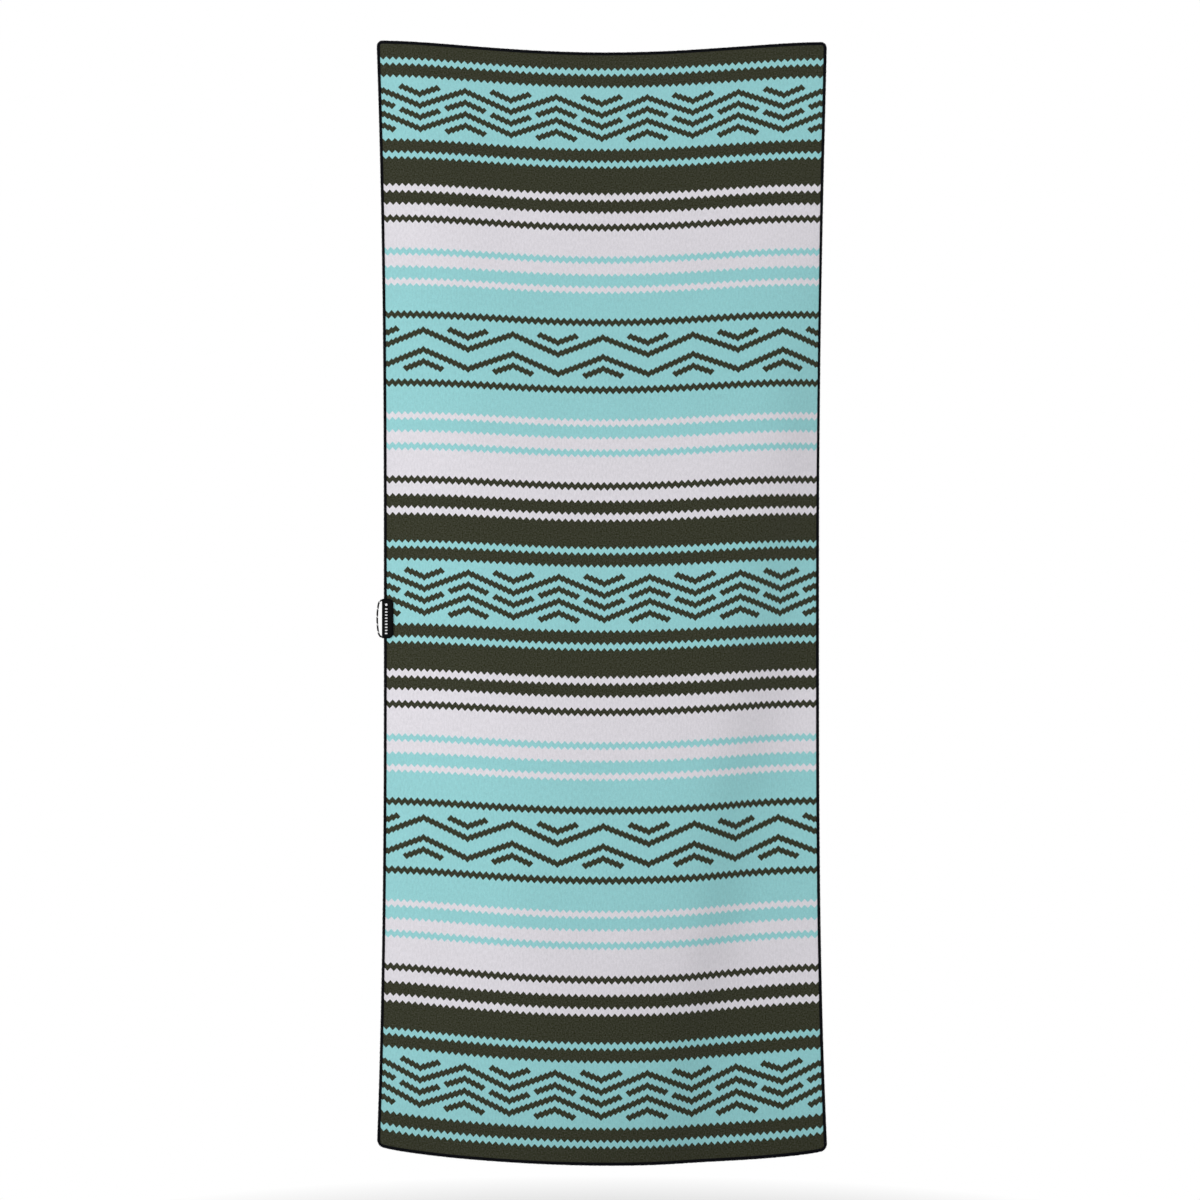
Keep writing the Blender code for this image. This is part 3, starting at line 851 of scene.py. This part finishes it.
def label_box():
    """(left, right, top, bottom) of the label, laid flat."""
    top = LABEL_MIDDLE - LABEL_HEIGHT / 2
    return -LABEL_OVERHANG, LABEL_WIDTH - LABEL_OVERHANG, top, top + LABEL_HEIGHT


def label_outline(inset):
    """The label's outline moved inwards: its box and its two corner radii."""
    left, right, top, bottom = label_box()
    near = max(LABEL_OUTER_RADIUS - inset, SHARPEST_STITCH_TURN)
    return (left + inset, right - inset, top + inset, bottom - inset), near, (
        LABEL_INNER_RADIUS - inset)


def inside_label(s, t):
    """Distance in from the label's outline: the rounded box distance, with each end's radius."""
    left, right, top, bottom = label_box()
    radius = np.where(s > (left + right) / 2, LABEL_INNER_RADIUS, LABEL_OUTER_RADIUS)
    over_s = np.abs(s - (left + right) / 2) - (right - left) / 2 + radius
    over_t = np.abs(t - LABEL_MIDDLE) - LABEL_HEIGHT / 2 + radius
    beyond = np.hypot(np.maximum(over_s, 0), np.maximum(over_t, 0))
    return radius - beyond - np.minimum(np.maximum(over_s, over_t), 0)


def label_grid():
    """Flat places over the label, closer together near its rim, with its corners rounded."""
    left, right, top, bottom = label_box()
    rim = np.arange(0, 0.0032, 0.0002)
    s = np.concatenate([left + rim, np.arange(left + 0.0034, right - LABEL_INNER_RADIUS, 0.0006),
                        np.linspace(right - LABEL_INNER_RADIUS, right, 36)])
    end = np.linspace(0, LABEL_INNER_RADIUS, 36)
    middle = np.arange(top + LABEL_INNER_RADIUS + 0.0008, bottom - LABEL_INNER_RADIUS, 0.001)
    t = np.concatenate([top + end, middle, bottom - end[::-1]])
    s, t = np.meshgrid(s, t)
    for radius, a in (
        (LABEL_INNER_RADIUS, -np.clip(1 - (right - s) / LABEL_INNER_RADIUS, 0, 1)),
        (LABEL_OUTER_RADIUS, np.clip(1 - (s - left) / LABEL_OUTER_RADIUS, 0, 1)),
    ):
        b = np.clip(1 - (t - top) / radius, 0, 1) - np.clip(1 - (bottom - t) / radius, 0, 1)
        s, t = onto_disc(s, t, a, b, radius)
    return s, t


def make_label_tab(name, side, finish):
    """One moulded tab: a rounded rim, a sunk sewing channel, and a lip that meets the other tab.

    The outer face drops at the rim as a quarter round and by CHANNEL_DEPTH in the channel. The
    inner face steps in past the cloth's edge, and stays open round the cord.
    """
    s, t = label_grid()
    inset = np.maximum(inside_label(s, t), 0)
    near_rim = np.clip(1 - inset / RIM_ROUNDING, 0, 1)
    outer = LABEL_INNER + LABEL_THICKNESS - RIM_ROUNDING * (1 - np.sqrt(1 - near_rim**2))
    channel = smooth_step((inset - CHANNEL_INSET) / CHANNEL_WALL)
    channel = channel * smooth_step((CHANNEL_INSET + CHANNEL_WIDTH - inset) / CHANNEL_WALL)
    outer = outer - CHANNEL_DEPTH * channel
    lip = smooth_step((-LIP_FROM_CLOTH - s) / LIP_WIDTH)
    inner = LABEL_INNER + lip * (LIP_GAP - LABEL_INNER)
    from_cord = LOOP_HALF_HEIGHT - np.abs(t - LABEL_MIDDLE)
    clear = np.sqrt(np.maximum((CORD_DIAMETER / 2) ** 2 - from_cord**2, 0))
    inner = np.maximum(inner, np.minimum(clear, LABEL_INNER))
    inner = np.minimum(inner, outer - THINNEST_WALL)
    points = np.stack([hang_point(s, t, side * outer), hang_point(s, t, side * inner)])
    quads = np.concatenate(shell_quads(*s.shape))
    return new_piece(name, points, quads if side > 0 else quads[:, ::-1], [finish])


def raised_pad(centre_s, centre_t, half_s, half_t, power, height):
    """A low dome: rings of the outline |x/a|^p + |y/b|^p = 1, shrunk as they rise."""
    angle = np.linspace(0, 2 * np.pi, PAD_SIDES, endpoint=False)
    shape = np.abs(np.cos(angle)) ** power + np.abs(np.sin(angle)) ** power
    out = shape ** (-1 / power)
    sizes, rises = np.array(PAD_SECTION).T
    rises = rises * height
    s = centre_s + half_s * sizes[:, None] * out * np.cos(angle)
    t = centre_t + half_t * sizes[:, None] * out * np.sin(angle)
    n = LABEL_INNER + LABEL_THICKNESS + np.broadcast_to(rises[:, None], s.shape)
    quads = grid_quads(len(sizes), len(angle), closed_columns=True)
    return hang_point(s, t, n), quads, np.stack([s, t], axis=-1)


def make_label_mark(settings):
    """A plain ornament on the front tab: one dot over a column of equal bars."""
    _, _, top, _ = label_box()
    centre = settings.mark_from_edge - LABEL_OVERHANG
    half_height = settings.bar_height / 2
    parts = [raised_pad(centre, top + DOT_BELOW_TOP, DOT_RADIUS, DOT_RADIUS, 2.0, MARK_HEIGHT)]
    for bar in range(settings.bar_count):
        place = top + FIRST_BAR_BELOW_TOP + bar * settings.bar_pitch
        parts.append(raised_pad(centre, place, settings.bar_width / 2, half_height, 5.0,
                                MARK_HEIGHT))
    points, quads, _ = joined(parts)
    faces = quads.tolist()
    for start in range(0, len(points), len(PAD_SECTION) * PAD_SIDES):
        first, last = end_caps(len(PAD_SECTION), PAD_SIDES)
        faces += [[start + i for i in first], [start + i for i in last]]
    finish = rubber_material("pale_label_ink", settings.mark_colour, 0.5)
    return new_piece("label_mark", points, faces, [finish])


def make_label_stitching(settings):
    """The sewing thread in the two tabs' channels."""
    floor = LABEL_INNER + LABEL_THICKNESS - CHANNEL_DEPTH
    outline = label_outline(CHANNEL_INSET + CHANNEL_WIDTH / 2)
    parts = [
        stitch_line(lambda d: outline_walk(d, *outline), outline_knots(*outline)[-1],
                    settings.stitch_pitch, floor - 0.0005, floor + 0.00035, 0.00032, side,
                    points_each=8, sides=8)
        for side in (1, -1)
    ]
    finish = thread_material("label_thread", settings.thread_colour, 0.0011)
    return thread_piece("label_sewing", parts, finish)


def loop_route():
    """The loop's route from inside the label, out round the bow and back.

    As shares of its reach out from the swing axis and of its half height: out is
    1 - (up^2 + up^12) / 2, which bows in the middle and bends quickly at its ends.
    """
    up = np.linspace(0.97, -0.97, 31)
    out = 1 - (up**2 + up**12) / 2
    ends = np.array([[-0.60, 1.0], [-0.30, 1.0]])
    return np.concatenate([ends, np.stack([out, up], axis=-1), ends[::-1] * [1, -1]])


def smooth_route(route, count):
    """Points on the Catmull-Rom curve through a route, evenly spread over its spans."""
    knots = np.array([2 * route[0] - route[1], *route, 2 * route[-1] - route[-2]])
    places = np.linspace(0, len(route) - 1, count)
    spans = np.minimum(places.astype(int), len(route) - 2)
    u = (places - spans)[:, None]
    p0, p1, p2, p3 = (knots[spans + i] for i in range(4))
    curve = (2 * p1 + (p2 - p0) * u + (2 * p0 - 5 * p1 + 4 * p2 - p3) * u**2
             + (3 * p1 - p0 - 3 * p2 + p3) * u**3)
    return curve / 2


def make_hang_loop(settings):
    """The cord: a tube whose radius follows the crowns of two families of crossing strands."""
    out, up = loop_route().T
    route = label_plane(-LOOP_AXIS_OUT - LOOP_REACH * out, LABEL_MIDDLE - LOOP_HALF_HEIGHT * up)
    path = smooth_route(route, 340)
    sides = 32
    places = tube_map(path, sides)
    along, around = places[..., 0], places[..., 1]
    turns = settings.braid_strands / 2
    left = np.sin(2 * np.pi * (around * turns + along / settings.braid_pitch))
    right = np.sin(2 * np.pi * (around * turns - along / settings.braid_pitch))
    radii = CORD_DIAMETER / 2 * (0.955 + 0.045 * np.maximum(left, right))
    normal = np.cross(path[120] - path[0], path[200] - path[0])
    side = np.tile(normal / np.linalg.norm(normal), (len(path), 1))
    points, quads = tube(path, side, radii, sides)
    faces = quads.tolist() + [cap[::-1] for cap in end_caps(len(path), sides)]
    loop = new_piece("hang_cord", points, faces, [cord_material(settings)],
                     [(THREAD_MAP, places)])
    return loop, path


# ---- Settings, operators and the panel ----


def colour_property(name, description, default):
    return bpy.props.FloatVectorProperty(name=name, description=description, subtype="COLOR",
                                         size=3, min=0, max=1, default=default)


def share_property(name, description, default):
    return bpy.props.FloatProperty(name=name, description=description, subtype="FACTOR",
                                   min=0, max=1, default=default)


def count_property(name, description, default, low, high):
    return bpy.props.IntProperty(name=name, description=description, min=low, max=high,
                                 default=default)


def power_property(name, description, default):
    return bpy.props.FloatProperty(name=name, description=description, subtype="POWER", min=0,
                                   default=default)


def length_property(name, description, default, low=0.0):
    return bpy.props.FloatProperty(name=name, description=description, unit="LENGTH",
                                   precision=5, min=low, default=default)


class TowelClothSettings(bpy.types.PropertyGroup):
    """The cloth and its print."""

    white: colour_property("White", "Undyed ground of the print", (0.780, 0.753, 0.802))
    teal: colour_property("Teal", "Light stripes and band grounds", (0.317, 0.663, 0.682))
    dark: colour_property("Dark olive", "Dark stripes and zigzag lines", (0.0365, 0.0385, 0.0210))
    reverse: colour_property("Reverse", "Unprinted side", (0.74, 0.73, 0.72))
    ghost: share_property("Ghost", "How much print shows behind", 0.16)
    tooth_pitch: length_property("Tooth pitch", "Width of one tooth of the stepped edges", 0.011,
                                 0.002)
    nap_contrast: share_property("Nap contrast", "How much lighter and darker the nap is", 0.34)
    fibre_ends: share_property("Fibre ends", "Pale and dark fibre ends over the print", 0.10)
    nap_bump: share_property("Nap depth", "Strength of the nap's relief", 0.5)
    rib_pitch: length_property("Rib pitch", "Distance between the knit's ribs", 0.0012, 0.0004)
    sheen: share_property("Sheen", "Soft edge glow of brushed fibre", 0.12)
    columns: count_property("Columns", "Grid columns across", 132, 40, 400)
    rows: count_property("Rows", "Grid rows down", 324, 80, 900)


class TowelEdgeSettings(bpy.types.PropertyGroup):
    """The overlock sewing round the edge."""

    thread_colour: colour_property("Thread", "Colour of the sewing thread",
                                   (0.0025, 0.0028, 0.0042))
    thread_width: length_property("Thread width", "Width of the looper thread", 0.00135, 0.0002)
    stitch_pitch: length_property("Stitch pitch", "Distance from stitch to stitch", 0.0021, 0.001)


class TowelLabelSettings(bpy.types.PropertyGroup):
    """The side label."""

    rubber_colour: colour_property("Rubber", "Colour of the two tabs", (0.0026, 0.0026, 0.0030))
    mark_colour: colour_property("Mark", "Colour of the dot and bars", (0.62, 0.62, 0.63))
    thread_colour: colour_property("Thread", "Colour of the sewing thread",
                                   (0.0035, 0.0035, 0.0045))
    stitch_pitch: length_property("Stitch pitch", "Distance from stitch to stitch", 0.0028, 0.001)
    mark_from_edge: length_property("Mark place", "From the label's outer edge", 0.0077)
    bar_count: count_property("Bars", "Bars under the dot", 9, 0, 12)
    bar_width: length_property("Bar width", "Across the label", 0.0042, 0.001)
    bar_height: length_property("Bar height", "Along the label", 0.0022, 0.0005)
    bar_pitch: length_property("Bar pitch", "Distance from bar to bar", 0.0051, 0.001)


class TowelLoopSettings(bpy.types.PropertyGroup):
    """The cord hang loop."""

    colour: colour_property("Cord", "Colour of the strands", (0.0026, 0.0026, 0.0030))
    tick_colour: colour_property("Tracer", "Colour of the pale ticks", (0.88, 0.88, 0.88))
    tick_spacing: length_property("Tracer spacing", "Distance from tick to tick", 0.0130, 0.001)
    tick_length: length_property("Tracer length", "Length of each tick", 0.0022, 0.0002)
    braid_strands: count_property("Strands", "Strands in the braid", 8, 4, 16)
    braid_pitch: length_property("Braid pitch", "Length of one crossing", 0.0024, 0.0005)


class TowelStageSettings(bpy.types.PropertyGroup):
    """The studio round the towel."""

    camera_distance: length_property("Camera distance", "From the towel to the camera", 7.5, 1.0)
    view_height: length_property("View height", "Height of the frame at the towel", 2.009, 0.5)
    floor_gap: length_property("Floor gap", "From the towel's lowest point to the floor", 0.16)
    ambient: bpy.props.FloatProperty(name="Ambient", description="Light from all round", min=0,
                                     default=0.45)
    key: power_property("Key", "Power of the left front lamp", 42.0)
    fill: power_property("Fill", "Power of the right front lamp", 4.0)
    back: power_property("Back", "Power of the lamps behind", 24.0)


def fold_blend(piece):
    """Bakes a piece's transform into its mesh."""
    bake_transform(piece)


class TOWEL_OT_cloth(bpy.types.Operator):
    """Make the printed cloth and the sewing round its edge"""

    bl_idname = "towel.cloth"
    bl_label = "Cloth and Edge"

    def execute(self, context):
        settings = context.scene.towel_cloth
        edge = context.scene.towel_edge
        cloth = make_cloth(settings)
        fold_blend(cloth)
        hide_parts("cloth_upper", "cloth_lower")
        sewing = [make_edge_core(edge), make_edge_threads(edge), make_needle_lines(edge)]
        for piece in sewing:
            fold_blend(piece)
        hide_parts("edge_binding_upper", "edge_binding_lower")
        return {"FINISHED"}


class TOWEL_OT_label(bpy.types.Operator):
    """Make the side label, its plain mark and its sewing"""

    bl_idname = "towel.label"
    bl_label = "Label"

    def execute(self, context):
        settings = context.scene.towel_label
        rubber = rubber_material("black_rubber", settings.rubber_colour, 0.48)
        for name, node, side in (("label_front_tab", "label_front", 1),
                                 ("label_back_tab", "label_back", -1)):
            tab = make_label_tab(name, side, rubber)
            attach(tab, "lower_half")
            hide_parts(node)
        mark = make_label_mark(settings)
        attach(mark, "lower_half")
        sewing = make_label_stitching(settings)
        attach(sewing, "lower_half")
        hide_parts("label_stitching_front", "label_stitching_back")
        return {"FINISHED"}


class TOWEL_OT_loop(bpy.types.Operator):
    """Make the braided cord loop at the label"""

    bl_idname = "towel.loop"
    bl_label = "Hang Loop"

    def execute(self, context):
        loop, path = make_hang_loop(context.scene.towel_loop)
        at_label = label_plane(-LABEL_OVERHANG, LABEL_MIDDLE)
        clear = label_plane(-LOOP_AXIS_OUT - 0.004, LABEL_MIDDLE)
        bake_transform(loop)
        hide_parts("hang_loop")
        for name in ("loop_tail_upper", "loop_tail_lower"):
            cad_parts[name].data.materials[0] = loop.data.materials[0]
        return {"FINISHED"}


def add_light(name, place, size, power):
    """A rectangular lamp that points at the towel's middle."""
    lamp = bpy.data.lights.new(name, "AREA")
    lamp.shape = "RECTANGLE"
    lamp.size, lamp.size_y = size
    lamp.energy = power
    made = bpy.data.objects.new(name, lamp)
    made.location = place
    made.rotation_euler = turn_towards(np.array(LIGHT_TARGET) - np.array(place))
    made.visible_camera = False
    bpy.context.scene.collection.objects.link(made)


def turn_towards(direction):
    """The Euler turn that points an object's -Z along a direction, with its Y upwards."""
    flat = float(np.hypot(direction[0], direction[1]))
    return (np.arctan2(flat, -direction[2]), 0.0, np.arctan2(-direction[0], direction[1]))


def mixed_shader(tree, share, first, second):
    node = node_of(tree, "ShaderNodeMixShader")
    for inlet, socket in zip(node.inputs, (share, first, second)):
        tree.links.new(socket, inlet)
    return node.outputs[0]


def make_world(settings):
    """White to the camera, and a softer white as light."""
    world = bpy.data.worlds.new("studio")
    world.use_nodes = True
    tree = world.node_tree
    lit = tree.nodes["Background"]
    seen = node_of(tree, "ShaderNodeBackground")
    for background, strength in ((lit, settings.ambient), (seen, 1.0)):
        background.inputs["Color"].default_value = (1, 1, 1, 1)
        background.inputs["Strength"].default_value = strength
    rays = node_of(tree, "ShaderNodeLightPath")
    mix = mixed_shader(tree, rays.outputs["Is Camera Ray"], lit.outputs[0], seen.outputs[0])
    tree.links.new(mix, tree.nodes["World Output"].inputs["Surface"])
    bpy.context.scene.world = world


def floor_material():
    """Pale matt floor that fades to plain white further out, and is clear from below."""
    made, tree, shader = new_material("pale_floor", 0.9)
    shader.inputs["Base Color"].default_value = (0.86, 0.86, 0.86, 1)
    places = node_of(tree, "ShaderNodeTexCoord").outputs["Object"]
    length = node_of(tree, "ShaderNodeVectorMath", operation="LENGTH")
    tree.links.new(places, length.inputs[0])
    far = Field(tree, length.outputs["Value"])
    fade = ((far - 0.35) / 0.75).least(1).most(0)
    glow = node_of(tree, "ShaderNodeEmission")
    glow.inputs["Strength"].default_value = 1.0
    blend = mixed_shader(tree, fade.socket, shader.outputs[0], glow.outputs[0])
    clear = node_of(tree, "ShaderNodeBsdfTransparent")
    facing = node_of(tree, "ShaderNodeNewGeometry")
    sided = mixed_shader(tree, facing.outputs["Backfacing"], blend, clear.outputs[0])
    tree.links.new(sided, tree.nodes["Material Output"].inputs["Surface"])
    return made


def make_floor(settings):
    """A wide round floor: rings of points whose distance out grows with the square of the ring."""
    low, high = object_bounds()
    angle = np.linspace(0, 2 * np.pi, FLOOR_SIDES, endpoint=False)
    reach = FLOOR_RADIUS * (np.linspace(0.004, 1, FLOOR_RINGS)[:, None]) ** 2
    points = np.stack(np.broadcast_arrays(
        reach * np.cos(angle), reach * np.sin(angle), 0.0 * reach), axis=-1)
    faces = grid_quads(FLOOR_RINGS, FLOOR_SIDES, closed_columns=True).tolist()
    faces.append(list(range(FLOOR_SIDES)))
    floor = new_piece("floor", points, faces, [floor_material()])
    floor.location = (0, (low[1] + high[1]) / 2, low[2] - settings.floor_gap)
    floor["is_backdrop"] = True


def make_camera(settings):
    """A long lens level with the towel's middle, straight in front of it."""
    camera = bpy.data.cameras.new("front_view")
    camera.sensor_width = SENSOR_WIDTH
    camera.lens = SENSOR_WIDTH * settings.camera_distance / settings.view_height
    made = bpy.data.objects.new("front_view", camera)
    across, up = VIEW_MIDDLE
    made.location = (across, -settings.camera_distance, up)
    made.rotation_euler = (np.pi / 2, 0, 0)
    bpy.context.scene.collection.objects.link(made)
    bpy.context.scene.camera = made


class TOWEL_OT_stage(bpy.types.Operator):
    """Set up the pale floor, the soft lamps and the camera"""

    bl_idname = "towel.stage"
    bl_label = "Stage"

    def execute(self, context):
        settings = context.scene.towel_stage
        make_world(settings)
        make_floor(settings)
        for name, place, size, power in (
            ("key_left_front", (-2.9, -2.1, -0.6), (1.4, 2.4), settings.key),
            ("fill_right_front", (2.4, -3.4, -0.7), (1.8, 2.4), settings.fill),
            ("back_left", (-2.4, 2.8, -0.6), (1.6, 2.4), settings.back),
            ("back_right", (2.6, 2.6, -0.7), (1.6, 2.4), settings.back * 0.7),
        ):
            add_light(name, place, size, power)
        make_camera(settings)
        context.scene.view_settings.view_transform = "Standard"
        return {"FINISHED"}


class TOWEL_PT_pieces(bpy.types.Panel):
    """The towel's operators and settings"""

    bl_idname = "TOWEL_PT_pieces"
    bl_label = "Quick Dry Towel"
    bl_space_type = "VIEW_3D"
    bl_region_type = "UI"
    bl_category = "Towel"

    def draw(self, context):
        for operator, settings in (
            (TOWEL_OT_cloth, context.scene.towel_cloth),
            (None, context.scene.towel_edge),
            (TOWEL_OT_label, context.scene.towel_label),
            (TOWEL_OT_loop, context.scene.towel_loop),
            (TOWEL_OT_stage, context.scene.towel_stage),
        ):
            box = self.layout.box()
            if operator:
                box.operator(operator.bl_idname)
            for name in settings.bl_rna.properties.keys():
                if name not in ("rna_type", "name"):
                    box.prop(settings, name)


SETTINGS = {
    "towel_cloth": TowelClothSettings,
    "towel_edge": TowelEdgeSettings,
    "towel_label": TowelLabelSettings,
    "towel_loop": TowelLoopSettings,
    "towel_stage": TowelStageSettings,
}
OPERATORS = (TOWEL_OT_loop, TOWEL_OT_cloth, TOWEL_OT_label, TOWEL_OT_stage)


def register():
    for name, group in SETTINGS.items():
        bpy.utils.register_class(group)
        setattr(bpy.types.Scene, name, bpy.props.PointerProperty(type=group))
    for operator in OPERATORS:
        bpy.utils.register_class(operator)
    bpy.utils.register_class(TOWEL_PT_pieces)


def unregister():
    bpy.utils.unregister_class(TOWEL_PT_pieces)
    for operator in reversed(OPERATORS):
        bpy.utils.unregister_class(operator)
    for name, group in reversed(SETTINGS.items()):
        delattr(bpy.types.Scene, name)
        bpy.utils.unregister_class(group)


def main():
    register()
    bpy.ops.towel.loop()
    bpy.ops.towel.cloth()
    bpy.ops.towel.label()
    bpy.ops.towel.stage()


if __name__ == "__main__":
    main()
